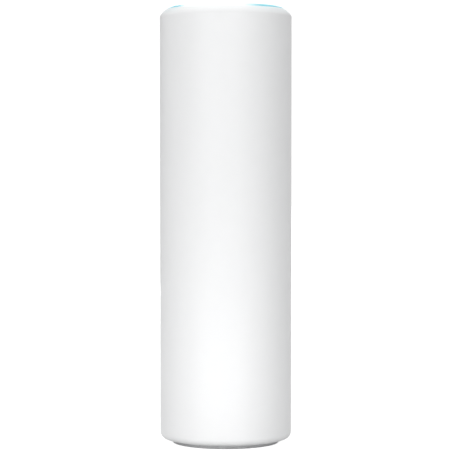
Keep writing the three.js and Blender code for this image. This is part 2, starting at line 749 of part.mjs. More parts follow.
function antennaCarrier() {
  const { low, floorTop, roofLow, roofHigh, opening } = LANTERN;
  const floor = solid(annulus(10, 20.2, low, floorTop));
  const roof = solid(annulus(opening, 18.4, roofLow, roofHigh));
  const web = box(
    [LANTERN_WEB.inner, -LANTERN_WEB.width / 2, floorTop - 0.1],
    [LANTERN_WEB.outer, LANTERN_WEB.width / 2, roofLow + 0.1],
  );
  const webs = ANTENNA_SIDES.map(([, angle]) => turnedTo(solid(web), angle));
  const window = (half, bottom, top) =>
    box([LANTERN_WEB.inner - 1, -half, bottom], [LANTERN_WEB.outer + 1, half, top]);
  const feedWindow = window(1.5, FEED_HEIGHT - 1.5, FEED_HEIGHT + 1.5);
  const longWindow = window(4, FEED_HEIGHT + 5, roofLow - 4);
  const windows = ANTENNA_SIDES.flatMap(([, angle]) =>
    [feedWindow, longWindow].map((shape) => turnedTo(solid(shape), angle)),
  );
  const posts = BOSS_ANGLES.map((angle) => {
    const place = onCircle(LANTERN_POST.circle, angle);
    return solid(rod(LANTERN_POST.radius, roofHigh - 0.1, LANTERN_POST.high, ...place, 12));
  });
  return cut(joined([floor, roof, ...webs, ...posts]), [
    ...windows,
    ...bossPassages(low - 1, floorTop + 1),
    ...bossPassages(roofLow - 1, roofHigh + 1),
    ...LANTERN_SCREWS.map(([x, y]) => solid(rod(1.2, low - 1, floorTop + 1, x, y, 10))),
  ]);
}

// A stamped dual-band plate: a long slot for the lower band and a short one for the upper band.
function antennaPlate() {
  const { width, height, thickness } = ANTENNA;
  const outline = roundedRectangle(width, height, 1);
  outline.holes.push(rectanglePath(-5, -10, -3.2, 13), rectanglePath(1, -4, 2.8, 8));
  return pushedUp(outline, 0, thickness, 2);
}

function antennas() {
  return ANTENNA_SIDES.map(([side, angle]) => {
    const plate = mesh(
      `antenna_${side}`,
      antennaPlate(),
      NICKEL,
      [ANTENNA.radius, 0, ANTENNA.low + ANTENNA.height / 2],
      [Math.PI / 2, Math.PI / 2, 0],
    );
    const holder = group(plate);
    holder.rotation.z = angle;
    return holder;
  });
}

function antennaLead(route) {
  const path = new THREE.CatmullRomCurve3(route.map((point) => new THREE.Vector3(...point)));
  const rim = evenly(8).map((angle) => new THREE.Vector2(...onCircle(LEAD_RADIUS, angle)));
  const section = new THREE.Shape(rim);
  return new THREE.ExtrudeGeometry(section, { steps: 16, extrudePath: path, bevelEnabled: false });
}

// The flat lead of the light board: up from the main board, through the lantern, and over its roof.
function lightRibbon() {
  const { width, thickness, y, low, bend, top, end } = FLAT_LEAD;
  const half = thickness / 2;
  const side = new THREE.Shape();
  const centre = [y + bend, top - bend];
  side.moveTo(y + half, low);
  side.lineTo(y + half, centre[1]);
  side.absarc(...centre, bend - half, Math.PI, Math.PI / 2, true);
  side.lineTo(end, top - half);
  side.lineTo(end, top + half);
  side.lineTo(centre[0], top + half);
  side.absarc(...centre, bend + half, Math.PI / 2, Math.PI);
  side.lineTo(y - half, low);
  return new THREE.ExtrudeGeometry(side, { depth: width, bevelEnabled: false, curveSegments: 6 })
    .rotateX(Math.PI / 2)
    .rotateZ(Math.PI / 2)
    .translate(-width / 2, 0, 0);
}

function lanternAssembly() {
  const screws = LANTERN_SCREWS.map(([x, y], i) =>
    mesh(`lantern_screw_${i + 1}`, screw(4), SCREW_STEEL, [x, y, LANTERN.floorTop + 0.05]),
  );
  const leads = Object.entries(LEAD_ROUTES).map(([side, route]) =>
    mesh(`antenna_lead_${side}`, antennaLead(route), COAX_JACKET),
  );
  return group(
    mesh("antenna_carrier", antennaCarrier(), IVORY_PLASTIC),
    mesh("light_ribbon", lightRibbon(), RIBBON),
    antennas(),
    leads,
    screws,
  );
}

// ---- Whole object -------------------------------------------------------------------------------
const node = group(
  mesh("outer_shell", outerShell(), WHITE_PLASTIC),
  topAssembly(),
  lanternAssembly(),
  chassisAssembly(),
  boardAssembly(),
  heatSinkAssembly(),
  baseAssembly(),
);

export default node;
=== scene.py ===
"""A desk-standing mesh wifi node in a white studio.

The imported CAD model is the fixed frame. Every piece that shows from outside is built again here as a finer
mesh and stands for its CAD node. Every inner node keeps its CAD mesh under a procedural material.
"""

import json
from math import atan, cos, hypot, pi, radians, sin, sqrt, tan

import bmesh
import bpy
from mathutils import Matrix, Vector

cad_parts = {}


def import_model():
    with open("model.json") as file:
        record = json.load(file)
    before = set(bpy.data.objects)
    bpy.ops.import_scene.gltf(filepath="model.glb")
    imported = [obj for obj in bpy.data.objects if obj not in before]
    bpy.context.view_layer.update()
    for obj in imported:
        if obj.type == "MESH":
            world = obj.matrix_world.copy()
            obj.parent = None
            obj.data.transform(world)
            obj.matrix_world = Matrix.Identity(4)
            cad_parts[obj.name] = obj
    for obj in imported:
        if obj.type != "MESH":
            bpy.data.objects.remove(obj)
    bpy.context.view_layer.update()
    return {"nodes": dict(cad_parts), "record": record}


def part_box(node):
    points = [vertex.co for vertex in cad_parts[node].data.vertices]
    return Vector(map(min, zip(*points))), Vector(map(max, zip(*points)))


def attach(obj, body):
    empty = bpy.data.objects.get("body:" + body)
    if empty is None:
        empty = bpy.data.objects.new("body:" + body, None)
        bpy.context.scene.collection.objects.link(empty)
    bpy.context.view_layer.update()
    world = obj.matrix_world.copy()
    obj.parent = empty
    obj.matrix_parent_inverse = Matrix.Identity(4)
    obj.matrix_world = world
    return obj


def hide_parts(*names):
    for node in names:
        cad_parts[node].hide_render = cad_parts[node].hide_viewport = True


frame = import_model()

MM = 0.001

# ---- Dimensions from the CAD nodes' boxes, in millimetres ----------------------------------------------


def box_mm(node):
    low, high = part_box(node)
    return low / MM, high / MM


SHELL_LOW, SHELL_HIGH = box_mm("outer_shell")
RING_LOW, RING_HIGH = box_mm("light_ring")
CAP_LOW, CAP_HIGH = box_mm("top_cap")
JACK_LOW, JACK_HIGH = box_mm("network_jack")
GASKET_LOW, GASKET_HIGH = box_mm("port_gasket")
BUTTON_LOW, BUTTON_HIGH = box_mm("reset_button")
FOOT_HIGH = box_mm("foot_ring")[1]
BASE_HIGH = box_mm("base_housing")[1]

BODY_RADIUS = SHELL_HIGH.x
HEIGHT = RING_HIGH.z
UNDERSIDE = SHELL_LOW.z

# ---- Dimensions that no box gives, in millimetres ------------------------------------------------------
WALL = 2
INNER_RADIUS = BODY_RADIUS - WALL
# The shoulder's curve starts this many degrees up, above the eased corner that ends the wall.
SHOULDER = {"width": 4.28, "height": 3.38, "power": 1.6, "start": 24, "corner": 1.5}
BOTTOM_ROUND = {"width": 2.2, "height": 2.5}
# Heights of extra loops in the wall, close together near the cable notch, so that its shading stays there.
WALL_LOOPS = (4.6, 5.4, 6.2, 7.0, 7.8, 8.6, 9.6, 11, 14, 20, 40, 80, 120, 145)
LIP = {"radius": 20.8, "top": 8.6, "slope": 1.2}
SEAT = {
    "radius": 21.4,
    "rim": 0.1,
    "ledge_z": 156.4,
    "ledge_radius": 19.2,
    "ledge_underside": 154.8,
    "wall_top": 152.2,
}
RING = {"inner": 18.75, "skirt_outer": 18.6, "skirt_inner": 16.9, "flange_z": 156.9, "shelf_z": 157.1}
CAP = {"low": 157.25, "rim_inner": 15.6, "rim_outer": 16.7, "rim_top": 158.85}
CAP_LOOPS = (17, 14, 10, 6, 3, 0)

NOTCH = {"half_width": 3.5, "straight": 3.5, "edge": 0.6, "middle": 18, "past_wall": 0.01}
# The hood over the notch starts this far above the underside and ends this far inside the base's rim.
HOOD = {"wall": 1.2, "bottom": 2, "gap": 0.05}
FOOT_INNER = 15.4
GRIPS = {"radii": (16.6, 17.5, 18.4), "width": 0.35, "depth": 0.25, "taper": 0.6}
GROOVE = {"side_gap": 0.2, "top_gap": 0.1}
BASE = {"disc_top": 5.5, "flange_radius": 20.2}
WELL = {"radius": 14.0, "wall": 1.2, "ceiling": 28.0}

# roof is what the pilot leaves above it, passage the radius of the boss's way through the base, and
# rib_start how far from the boss's axis its rib begins.
BOSSES = {
    "count": 4,
    "circle": 17.8,
    "radius": 2.3,
    "low": 5.8,
    "high": 13.0,
    "pilot": 1.2,
    "roof": 1,
    "passage": 2.8,
    "rib_width": 1.6,
    "rib_start": 1,
}
BOSS_ANGLES = [pi / 4 + 2 * pi * i / BOSSES["count"] for i in range(BOSSES["count"])]
BOSS_PLACES = [(BOSSES["circle"] * cos(angle), BOSSES["circle"] * sin(angle)) for angle in BOSS_ANGLES]
BASE_SCREW = {"hole": 1.35, "recess": 1.9, "recess_top": 3.6}
# start, head_top and recess_top are heights above the well's ceiling.
CHASSIS_SCREW = {"x": 17.7, "pilot": 1.15, "start": 0.4}
RESET = {"x": 11.0, "y": 4.9, "head": 1.5, "head_top": 0.6, "recess_top": 1.3, "clearance": 0.2}
SHAFT = {"radius": 0.9, "collar": 1.3, "collar_height": 0.2}
# Corners of the dimple in the button's face: radius, height above the face and, at its rim, the rounding.
DIMPLE = ((0, 0.25), (0.45, 0.2), (0.8, 0, 0.3))

GASKET = {"corner": 1.1, "edge": 0.22, "base_gap": 0.1, "jack_gap": 0.15, "hole_corner": 0.3}
JACK = {"corner": 0.5, "edge": 0.2, "wall": 0.35, "inner_corner": 0.3, "mouth_gap": 0.25}
INSERT = {"gap": 0.05, "edge": 0.1}
PLUG = {"half_width": 5.95, "low": -3.4, "high": 3.6, "depth": 14.0}
# Half width of each step of the way for the plug's latch, and its height above the plug.
LATCH_STEPS = ((3.2, 1.4), (1.7, 2.2))
COMB = {"half_width": 4.6, "y": (-3.2, -0.9), "z": 38.6, "height": 2, "corner": 0.2, "edge": 0.1}
# Each wire hangs from the comb by its length, goes root deep into it, and leans by slant, in radians.
WIRES = {"count": 8, "pitch": 1.02, "y": -1.2, "length": 7.9, "root": 0.3, "slant": 0.24}
WIRE = {"radius": 0.2, "tip_rounding": 0.18}

# How far a cutter runs past the face that it opens, and a joined piece into the wall that it meets.
OVERSHOOT = 1
JOIN_DEPTH = 0.5
# Points closer than this are one point.
MERGE_DISTANCE = 1e-4

# ---- How finely curves are drawn -----------------------------------------------------------------------
SEGMENTS = 192
STEPS = {"bottom_round": 10, "shoulder": 18, "ring": 14, "notch": 24, "flare": 6, "rim": 3}
# An edge between faces that meet at more than this many degrees looks sharp.
SHARP_ANGLE = 35

# ---- Camera and light ----------------------------------------------------------------------------------
CAMERA = {"lens": 159.3, "sensor": 36, "place": (0.0001, -0.731, 0.1076), "tilt": 2.23, "clip": (0.05, 20)}
WORLD = {"fill": 0.47, "seen": 1.1}
FLOOR = {"half_size": 3, "drop": 0.00005, "seen": 0.95, "mirrored": 0.5}
# Where the ring's light goes from a painted white highlight in front to cyan, in degrees from the front,
# positive towards the right.
FRONT_HIGHLIGHT_TO_CYAN_ANGLES = ((11, 42), (-40, -59))


# ---- Meshes --------------------------------------------------------------------------------------------
def rounded(corners, steps=5, closed=True):
    """Points of an outline whose corners are (u, v) or (u, v, radius), each radius turned as an arc.

    An arc takes a little under half of each side next to it at most, so that neighbours never meet.
    """
    points = []
    count = len(corners)
    for i, corner in enumerate(corners):
        here = Vector(corner[:2])
        radius = corner[2] if len(corner) > 2 else 0
        at_end = not closed and i in (0, count - 1)
        if not radius or at_end:
            points.append(here)
            continue
        before = Vector(corners[i - 1][:2]) - here
        after = Vector(corners[(i + 1) % count][:2]) - here
        half = before.angle(after) / 2
        reach = min(radius / tan(half), 0.49 * before.length, 0.49 * after.length)
        radius = reach * tan(half)
        before.normalize()
        after.normalize()
        centre = here + (before + after).normalized() * hypot(radius, reach)
        start = here + before * reach - centre
        turn = start.angle_signed(here + after * reach - centre)
        for step in range(steps + 1):
            arm = start.copy()
            arm.rotate(Matrix.Rotation(-turn * step / steps, 2))
            points.append(centre + arm)
    return [(p.x, p.y) for p in points]


def quarter(steps):
    """Angles of a quarter turn, from 0 to 90 degrees."""
    return [pi / 2 * i / steps for i in range(steps + 1)]


def rectangle(x0, y0, x1, y1, radius=0.0):
    return rounded([(x0, y0, radius), (x1, y0, radius), (x1, y1, radius), (x0, y1, radius)])


def footprint(low, high, grown=0.0, radius=0.0):
    """The rectangle under a box, grown by a distance all round."""
    return rectangle(low.x - grown, low.y - grown, high.x + grown, high.y + grown, radius)


def circle(radius, x=0.0, y=0.0, steps=32):
    angles = (2 * pi * i / steps for i in range(steps))
    return [(x + radius * cos(angle), y + radius * sin(angle)) for angle in angles]


def turned(outline, angle):
    """The outline turned about Z."""
    return [(x * cos(angle) - y * sin(angle), x * sin(angle) + y * cos(angle)) for x, y in outline]


def inset_outline(outline, distance):
    """The outline moved inwards. Its points run counterclockwise.

    A sharp corner moves no further than 2.5 times the distance.
    """
    if not distance:
        return outline
    moved = []
    for i, here in enumerate(outline):
        here = Vector(here)
        along_in = (here - Vector(outline[i - 1])).normalized()
        along_out = (Vector(outline[(i + 1) % len(outline)]) - here).normalized()
        inward = Vector((-along_in.y - along_out.y, along_in.x + along_out.x)).normalized()
        lean = max(0.4, inward.dot(Vector((-along_in.y, along_in.x))))
        moved.append(tuple(here + inward * (distance / lean)))
    return moved


def shade(piece):
    piece.data.shade_smooth()
    piece.data.set_sharp_from_angle(angle=radians(SHARP_ANGLE))


def make(name, bm):
    """A finished mesh object from a bmesh drawn in millimetres."""
    bmesh.ops.remove_doubles(bm, verts=bm.verts, dist=MERGE_DISTANCE)
    bmesh.ops.dissolve_degenerate(bm, edges=bm.edges, dist=MERGE_DISTANCE)
    bmesh.ops.recalc_face_normals(bm, faces=bm.faces)
    bmesh.ops.scale(bm, verts=bm.verts, vec=(MM, MM, MM))
    mesh = bpy.data.meshes.new(name)
    bm.to_mesh(mesh)
    bm.free()
    piece = bpy.data.objects.new(name, mesh)
    bpy.context.scene.collection.objects.link(piece)
    shade(piece)
    return piece


def loft(bm, rings):
    """Joins closed rings of vertices in turn and closes both ends."""
    for near, far in zip(rings, rings[1:]):
        for j in range(len(near)):
            k = (j + 1) % len(near)
            bm.faces.new((near[j], near[k], far[k], far[j]))
    bm.faces.new(list(reversed(rings[0])))
    bm.faces.new(rings[-1])


def lathe(name, outline, closed=True, segments=SEGMENTS):
    """Turns (radius, z) points about Z. An open outline starts and ends on the axis."""
    bm = bmesh.new()
    rings = []
    for radius, z in outline:
        if radius < MERGE_DISTANCE:
            rings.append([bm.verts.new((0, 0, z))] * segments)
            continue
        angles = (2 * pi * j / segments for j in range(segments))
        rings.append([bm.verts.new((radius * sin(angle), -radius * cos(angle), z)) for angle in angles])
    count = len(rings) if closed else len(rings) - 1
    for i in range(count):
        low = rings[i]
        high = rings[(i + 1) % len(rings)]
        for j in range(segments):
            k = (j + 1) % segments
            corners = list(dict.fromkeys((low[j], low[k], high[k], high[j])))
            if len(corners) > 2:
                bm.faces.new(corners)
    return make(name, bm)


def prism(name, outline, low, high, edge=0.0):
    """An outline in X and Y pushed up from low to high, its rims rounded by edge."""
    levels = [(low, 0.0), (high, 0.0)]
    if edge:
        arc = [(edge * (1 - cos(lean)), edge * (1 - sin(lean))) for lean in quarter(STEPS["rim"])]
        levels = [(low + rise, inset) for rise, inset in arc]
        levels += [(high - rise, inset) for rise, inset in reversed(arc)]
    bm = bmesh.new()
    rings = []
    for z, inset in levels:
        rings.append([bm.verts.new((x, y, z)) for x, y in inset_outline(outline, inset)])
    loft(bm, rings)
    return make(name, bm)


def arch(name, half_width, bottom, radii, edge=0.0):
    """The cable notch's arch, swept outwards through the given radii.

    Each ring of the sweep lies on a cylinder about Z, so a flare of size edge rounds the mouth, at the last
    radius, evenly on a round wall. The sweep runs on past the mouth by OVERSHOOT.
    """
    bm = bmesh.new()
    mouth = radii[-1]
    stops = [(radius, 0.0) for radius in radii[:-1]]
    if edge:
        stops += [(mouth - edge * (1 - sin(a)), edge * (1 - cos(a))) for a in quarter(STEPS["flare"])]
        stops.append((mouth + OVERSHOOT, edge + OVERSHOOT))
    else:
        stops += [(mouth, 0.0), (mouth + OVERSHOOT, 0.0)]
    rings = []
    for radius, grown in stops:
        width = half_width + grown
        angles = [pi * i / STEPS["notch"] for i in range(STEPS["notch"] + 1)]
        curve = [(width * cos(angle), NOTCH["straight"] + width * sin(angle)) for angle in angles]
        outline = [(width, bottom), *curve, (-width, bottom)]
        rings.append([bm.verts.new((x, sqrt(radius**2 - x**2), z)) for x, z in outline])
    loft(bm, rings)
    return make(name, bm)


def combine(piece, other, operation):
    """Joins other to piece, or cuts it away, and removes other."""
    modifier = piece.modifiers.new("combine", "BOOLEAN")
    modifier.object = other
    modifier.operation = operation
    modifier.solver = "EXACT"
    graph = bpy.context.evaluated_depsgraph_get()
    mesh = bpy.data.meshes.new_from_object(piece.evaluated_get(graph))
    piece.modifiers.clear()
    old = piece.data
    piece.data = mesh
    bpy.data.meshes.remove(old)
    spent = other.data
    bpy.data.objects.remove(other)
    bpy.data.meshes.remove(spent)
    shade(piece)


# ---- Materials -----------------------------------------------------------------------------------------
# What surface() is given for each slot.
SURFACES = {
    "white_plastic": dict(colour=(0.84, 0.845, 0.85), roughness=0.46, grain=7000, depth=0.006, tone=0.006),
    "base_plastic": dict(colour=(0.62, 0.625, 0.63), roughness=0.55, grain=5200, depth=0.012, tone=0.012),
    "grey_rubber": dict(colour=(0.64, 0.645, 0.655), roughness=0.78, grain=4200, depth=0.02, tone=0.06),
    "black_rubber": dict(colour=(0.018, 0.018, 0.019), roughness=0.72, grain=4200, depth=0.02, tone=0.15),
    "black_plastic": dict(colour=(0.022, 0.023, 0.025), roughness=0.42, depth=0.012, tone=0.10),
    "ivory_plastic": dict(colour=(0.66, 0.655, 0.62), roughness=0.5, depth=0.012, tone=0.02),
    "tinned_steel": dict(
        colour=(0.60, 0.61, 0.62),
        roughness=0.34,
        grain=1500,
        depth=0.0015,
        metallic=1.0,
        stretch=(1, 1, 12),
        tone=0.04,
    ),
    "nickel": dict(
        colour=(0.66, 0.63, 0.57),
        roughness=0.26,
        grain=2200,
        depth=0.003,
        metallic=1.0,
        stretch=(8, 8, 1),
        tone=0.04,
    ),
    "gold": dict(
        colour=(0.83, 0.58, 0.22),
        roughness=0.20,
        grain=6000,
        depth=0.002,
        metallic=1.0,
        tone=0.05,
    ),
    "aluminium": dict(
        colour=(0.60, 0.61, 0.62),
        roughness=0.38,
        grain=2600,
        depth=0.012,
        metallic=1.0,
        stretch=(6, 6, 0.2),
        tone=0.05,
    ),
    "screw_steel": dict(
        colour=(0.48, 0.49, 0.52),
        roughness=0.30,
        grain=5200,
        depth=0.006,
        metallic=1.0,
        tone=0.08,
    ),
    "pad_silicone": dict(colour=(0.36, 0.44, 0.56), roughness=0.80, grain=3000, depth=0.04, tone=0.10),
    "ferrite": dict(colour=(0.045, 0.047, 0.052), roughness=0.62, grain=3600, depth=0.03, tone=0.30),
    "sleeve": dict(colour=(0.02, 0.03, 0.06), roughness=0.32, grain=1800, tone=0.10, Coat_Weight=0.2),
    "coax_jacket": dict(colour=(0.035, 0.036, 0.04), roughness=0.36, grain=4000, depth=0.008, tone=0.12),
    "light_package": dict(colour=(0.88, 0.86, 0.74), roughness=0.35, grain=5200, Emission_Strength=0.6),
}


class Nodes:
    """A material's node tree, with the few calls that this script needs."""

    def __init__(self, material):
        """Starts a new material by its name, or goes on with a made one."""
        self.material = bpy.data.materials.new(material) if isinstance(material, str) else material
        self.material.use_nodes = True
        self.tree = self.material.node_tree
        self.shader = self.tree.nodes["Principled BSDF"]
        self.place = self.add("ShaderNodeTexCoord").outputs["Object"]

    def add(self, kind, inputs=None, **settings):
        node = self.tree.nodes.new(kind)
        for key, value in settings.items():
            setattr(node, key, value)
        for key, value in (inputs or {}).items():
            if isinstance(value, bpy.types.NodeSocket):
                self.tree.links.new(value, node.inputs[key])
            else:
                node.inputs[key].default_value = value
        return node

    def link(self, output, socket):
        self.tree.links.new(output, self.shader.inputs[socket])

    def stretched(self, scale):
        return self.add("ShaderNodeMapping", {"Vector": self.place, "Scale": scale}).outputs["Vector"]

    def noise(self, scale, detail=2.0, vector=None):
        inputs = {"Vector": vector or self.place, "Scale": scale, "Detail": detail}
        return self.add("ShaderNodeTexNoise", inputs).outputs["Fac"]

    def remap(self, value, low, high, from_low=0.3, from_high=0.7):
        inputs = {"Value": value, "From Min": from_low, "From Max": from_high}
        inputs |= {"To Min": low, "To Max": high}
        return self.add("ShaderNodeMapRange", inputs).outputs["Result"]

    def mix(self, factor, first, second):
        """Mixes two colours. The Mix node's colour sockets share their names, so they go by number."""
        node = self.add("ShaderNodeMix", data_type="RGBA")
        for socket, value in ((0, factor), (6, first), (7, second)):
            if isinstance(value, bpy.types.NodeSocket):
                self.tree.links.new(value, node.inputs[socket])
            else:
                node.inputs[socket].default_value = (*value, 1.0) if socket else value
        return node.outputs[2]

    def math(self, operation, first, second=0.0):
        return self.add("ShaderNodeMath", {0: first, 1: second}, operation=operation).outputs[0]

    def bump(self, height, strength, distance):
        inputs = {"Height": height, "Strength": strength, "Distance": distance}
        self.link(self.add("ShaderNodeBump", inputs).outputs["Normal"], "Normal")


def surface(
    name,
    colour,
    roughness,
    grain=5000,
    depth=0.01,
    metallic=0.0,
    stretch=(1, 1, 1),
    tone=0.03,
    **sockets,
):
    """A moulded, stamped or cast surface.

    grain is how many grains fit in a metre, depth their height in millimetres, tone the share by which the
    colour drifts over a few millimetres, and stretch the grain's scale along each axis.
    """
    nodes = Nodes(name)
    nodes.shader.inputs["Metallic"].default_value = metallic
    for socket, value in sockets.items():
        nodes.shader.inputs[socket.replace("_", " ")].default_value = value
    grains = nodes.noise(grain, 3.0, nodes.stretched(stretch))
    drift = nodes.noise(260)
    darker = tuple(c * (1 - tone) for c in colour)
    lighter = tuple(min(1.0, c * (1 + tone)) for c in colour)
    # The tone follows the drift more than the grains, and the roughness varies by 12% each way.
    blend = nodes.math("ADD", nodes.math("MULTIPLY", grains, 0.4), nodes.math("MULTIPLY", drift, 0.6))
    nodes.link(nodes.mix(nodes.remap(blend, 0.0, 1.0), darker, lighter), "Base Color")
    nodes.link(nodes.remap(grains, roughness * 0.88, roughness * 1.12), "Roughness")
    nodes.bump(grains, 0.6, depth * MM)
    return nodes.material


def cyan_past_painted_front_highlight(nodes):
    """How cyan the ring's light is at each angle: full at the sides and back, none in front, where it gives
    way to a painted white highlight.
    """
    place = nodes.add("ShaderNodeSeparateXYZ", {"Vector": nodes.place}).outputs
    angle = nodes.math("ARCTAN2", place["X"], nodes.math("MULTIPLY", place["Y"], -1.0))
    shares = []
    for white, cyan in FRONT_HIGHLIGHT_TO_CYAN_ANGLES:
        inputs = {"Value": angle, "From Min": radians(white), "From Max": radians(cyan)}
        share = nodes.add("ShaderNodeMapRange", inputs, interpolation_type="SMOOTHSTEP")
        shares.append(share.outputs["Result"])
    return nodes.math("MAXIMUM", *shares)


def lit_diffuser(name):
    """Opal plastic with light inside, cyan but for the front, where a painted white highlight takes over its
    colour and its glow.
    """
    nodes = Nodes(name)
    cloud = nodes.remap(nodes.noise(420), 0.93, 1.0)
    strength = nodes.math("MULTIPLY", cyan_past_painted_front_highlight(nodes), cloud)
    # In front, both the colour and the glow are a painted white highlight. Elsewhere the glow is the ring's
    # own light, and the cyan colour paints in more of that light.
    nodes.link(nodes.mix(strength, (0.95, 0.97, 0.97), (0.22, 0.65, 0.73)), "Base Color")
    nodes.link(nodes.mix(strength, (0.20, 0.22, 0.22), (0.0, 0.11, 0.15)), "Emission Color")
    nodes.shader.inputs["Emission Strength"].default_value = 1.0
    nodes.shader.inputs["Coat Weight"].default_value = 0.15
    grains = nodes.noise(9000)
    nodes.link(nodes.remap(grains, 0.28, 0.36), "Roughness")
    nodes.bump(grains, 0.3, 0.004 * MM)
    return nodes.material


def shell_with_painted_glow(name):
    """The shell's white plastic, with a painted glow round the light ring that serves as a painted highlight
    on the shoulder, tinged cyan but for the front.
    """
    nodes = Nodes(surface(name, **SURFACES["white_plastic"]))
    height = nodes.add("ShaderNodeSeparateXYZ", {"Vector": nodes.place}).outputs["Z"]
    # Painted glow: the shell emits light of its own from the foot of the shoulder up to its top, stronger
    # towards the top.
    painted_glow_near_ring = nodes.remap(height, 0.0, 1.0, (HEIGHT - SHOULDER["height"]) * MM, SHELL_HIGH.z * MM)
    painted_glow_colour = nodes.mix(cyan_past_painted_front_highlight(nodes), (0.11, 0.12, 0.12), (0.07, 0.12, 0.13))
    nodes.link(nodes.mix(painted_glow_near_ring, (0.0, 0.0, 0.0), painted_glow_colour), "Emission Color")
    nodes.shader.inputs["Emission Strength"].default_value = 1.0
    return nodes.material


def circuit_board(name):
    """Green solder mask over copper tracks that show as fine raised lines."""
    nodes = Nodes(name)
    cells = nodes.add(
        "ShaderNodeTexVoronoi",
        {"Vector": nodes.place, "Scale": 520.0},
        feature="DISTANCE_TO_EDGE",
        distance="CHEBYCHEV",
    ).outputs["Distance"]
    tracks = nodes.remap(cells, 1.0, 0.0, 0.03, 0.10)
    nodes.link(nodes.mix(tracks, (0.010, 0.085, 0.030), (0.030, 0.190, 0.070)), "Base Color")
    nodes.link(nodes.remap(nodes.noise(2500), 0.26, 0.40), "Roughness")
    nodes.shader.inputs["Coat Weight"].default_value = 0.3
    nodes.bump(tracks, 0.5, 0.035 * MM)
    return nodes.material


def ribbon_lead(name):
    """A flat lead: pale film with copper tracks that run along it and show through."""
    nodes = Nodes(name)
    stripes = nodes.add(
        "ShaderNodeTexWave",
        {"Vector": nodes.place, "Scale": 320.0, "Distortion": 0.0},
        bands_direction="X",
    ).outputs["Fac"]
    film = nodes.remap(stripes, 0.0, 1.0)
    nodes.link(nodes.mix(film, (0.62, 0.36, 0.20), (0.82, 0.80, 0.74)), "Base Color")
    nodes.link(nodes.remap(nodes.noise(3000), 0.30, 0.42), "Roughness")
    nodes.bump(stripes, 0.4, 0.02 * MM)
    return nodes.material


MATERIALS = {name: surface(name, **look) for name, look in SURFACES.items()}
MATERIALS["diffuser"] = lit_diffuser("diffuser")
MATERIALS["solder_mask"] = circuit_board("solder_mask")
MATERIALS["ribbon"] = ribbon_lead("ribbon")


def dress(piece, slot, body="node_body", stands_for=(), material=None):
    """Gives a piece its material, the one for its slot unless another is given, parents it to the body that
    it rides on and hides the nodes that it stands for.
    """
    piece.data.materials.clear()
    piece.data.materials.append(material or MATERIALS[slot])
    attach(piece, body)
    if stands_for:
        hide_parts(*stands_for)


# ---- Shell, light ring and cap -------------------------------------------------------------------------
def shoulder(start, end, steps):
    """Points of the shoulder's superellipse, from one angle to another."""
    points = []
    for i in range(steps + 1):
        angle = start + (end - start) * i / steps
        inward = SHOULDER["width"] * (1 - max(0.0, cos(angle)) ** SHOULDER["power"])
        below = SHOULDER["height"] * (1 - sin(angle) ** SHOULDER["power"])
        points.append((BODY_RADIUS - inward, HEIGHT - below))
    return points


def shoulder_angle(radius):
    """The angle at which the shoulder has come in to a radius."""
    share = 1 - (BODY_RADIUS - radius) / SHOULDER["width"]
    cosine = share ** (1 / SHOULDER["power"])
    return atan(sqrt(1 - cosine**2) / cosine)


def bottom_round():
    """Points of the rounded lower edge, from the underside up to the wall."""
    points = []
    for angle in quarter(STEPS["bottom_round"]):
        inward = BOTTOM_ROUND["width"] * (1 - sin(angle))
        rise = BOTTOM_ROUND["height"] * (1 - cos(angle))
        points.append((BODY_RADIUS - inward, UNDERSIDE + rise))
    return points


def add_boss(shell, angle, place):
    """Joins a screw boss to the wall by its rib and drills its pilot from below."""
    low = BOSSES["low"]
    high = BOSSES["high"]
    half = BOSSES["rib_width"] / 2
    boss = prism("boss", circle(BOSSES["radius"], *place), low, high)
    rib = rectangle(BOSSES["circle"] + BOSSES["rib_start"], -half, INNER_RADIUS + JOIN_DEPTH, half)
    combine(boss, prism("rib", turned(rib, angle), low, high), "UNION")
    combine(shell, boss, "UNION")
    pilot = circle(BOSSES["pilot"], *place, steps=20)
    combine(shell, prism("pilot", pilot, low - OVERSHOOT, high - BOSSES["roof"]), "DIFFERENCE")


def outer_shell():
    top = shoulder_angle(SEAT["radius"] + SEAT["rim"])
    outline = rounded(
        [
            (LIP["radius"], UNDERSIDE, 0.25),
            *bottom_round(),
            *[(BODY_RADIUS, z) for z in WALL_LOOPS],
            (BODY_RADIUS, HEIGHT - SHOULDER["height"], SHOULDER["corner"]),
            *shoulder(radians(SHOULDER["start"]), top, STEPS["shoulder"]),
            (SEAT["radius"], SHELL_HIGH.z, 0.06),
            (SEAT["radius"], SEAT["ledge_z"]),
            (SEAT["ledge_radius"], SEAT["ledge_z"], 0.2),
            (SEAT["ledge_radius"], SEAT["ledge_underside"], 0.2),
            (INNER_RADIUS, SEAT["wall_top"], 0.6),
            (INNER_RADIUS, LIP["top"] + LIP["slope"], 0.4),
            (LIP["radius"], LIP["top"], 0.3),
        ]
    )
    shell = lathe("outer_shell_skin", outline)
    for angle, place in zip(BOSS_ANGLES, BOSS_PLACES):
        add_boss(shell, angle, place)
    # The notch's mouth lies a hair past the wall, so that no corner of the cutter touches the wall's own.
    radii = (WELL["radius"] / 2, NOTCH["middle"], BODY_RADIUS + NOTCH["past_wall"])
    combine(shell, arch("notch", NOTCH["half_width"], -OVERSHOOT, radii, NOTCH["edge"]), "DIFFERENCE")
    shell.modifiers.new("even_normals", "WEIGHTED_NORMAL").keep_sharp = True
    # The shell's material carries a painted glow round its top.
    dress(shell, "white_plastic", stands_for=["outer_shell"], material=shell_with_painted_glow("shell_with_painted_glow"))


def light_ring():
    outline = rounded(
        [
            (RING["skirt_inner"], RING_LOW.z, 0.2),
            (RING["skirt_outer"], RING_LOW.z, 0.2),
            (RING["skirt_outer"], RING["flange_z"]),
            (RING_HIGH.x, RING["flange_z"], 0.15),
            *shoulder(shoulder_angle(RING_HIGH.x), pi / 2, STEPS["ring"]),
            (RING["inner"], HEIGHT, 0.12),
            (RING["inner"], RING["shelf_z"]),
            (RING["skirt_inner"], RING["shelf_z"], 0.1),
        ]
    )
    dress(lathe("light_ring_diffuser", outline), "diffuser", stands_for=["light_ring"])


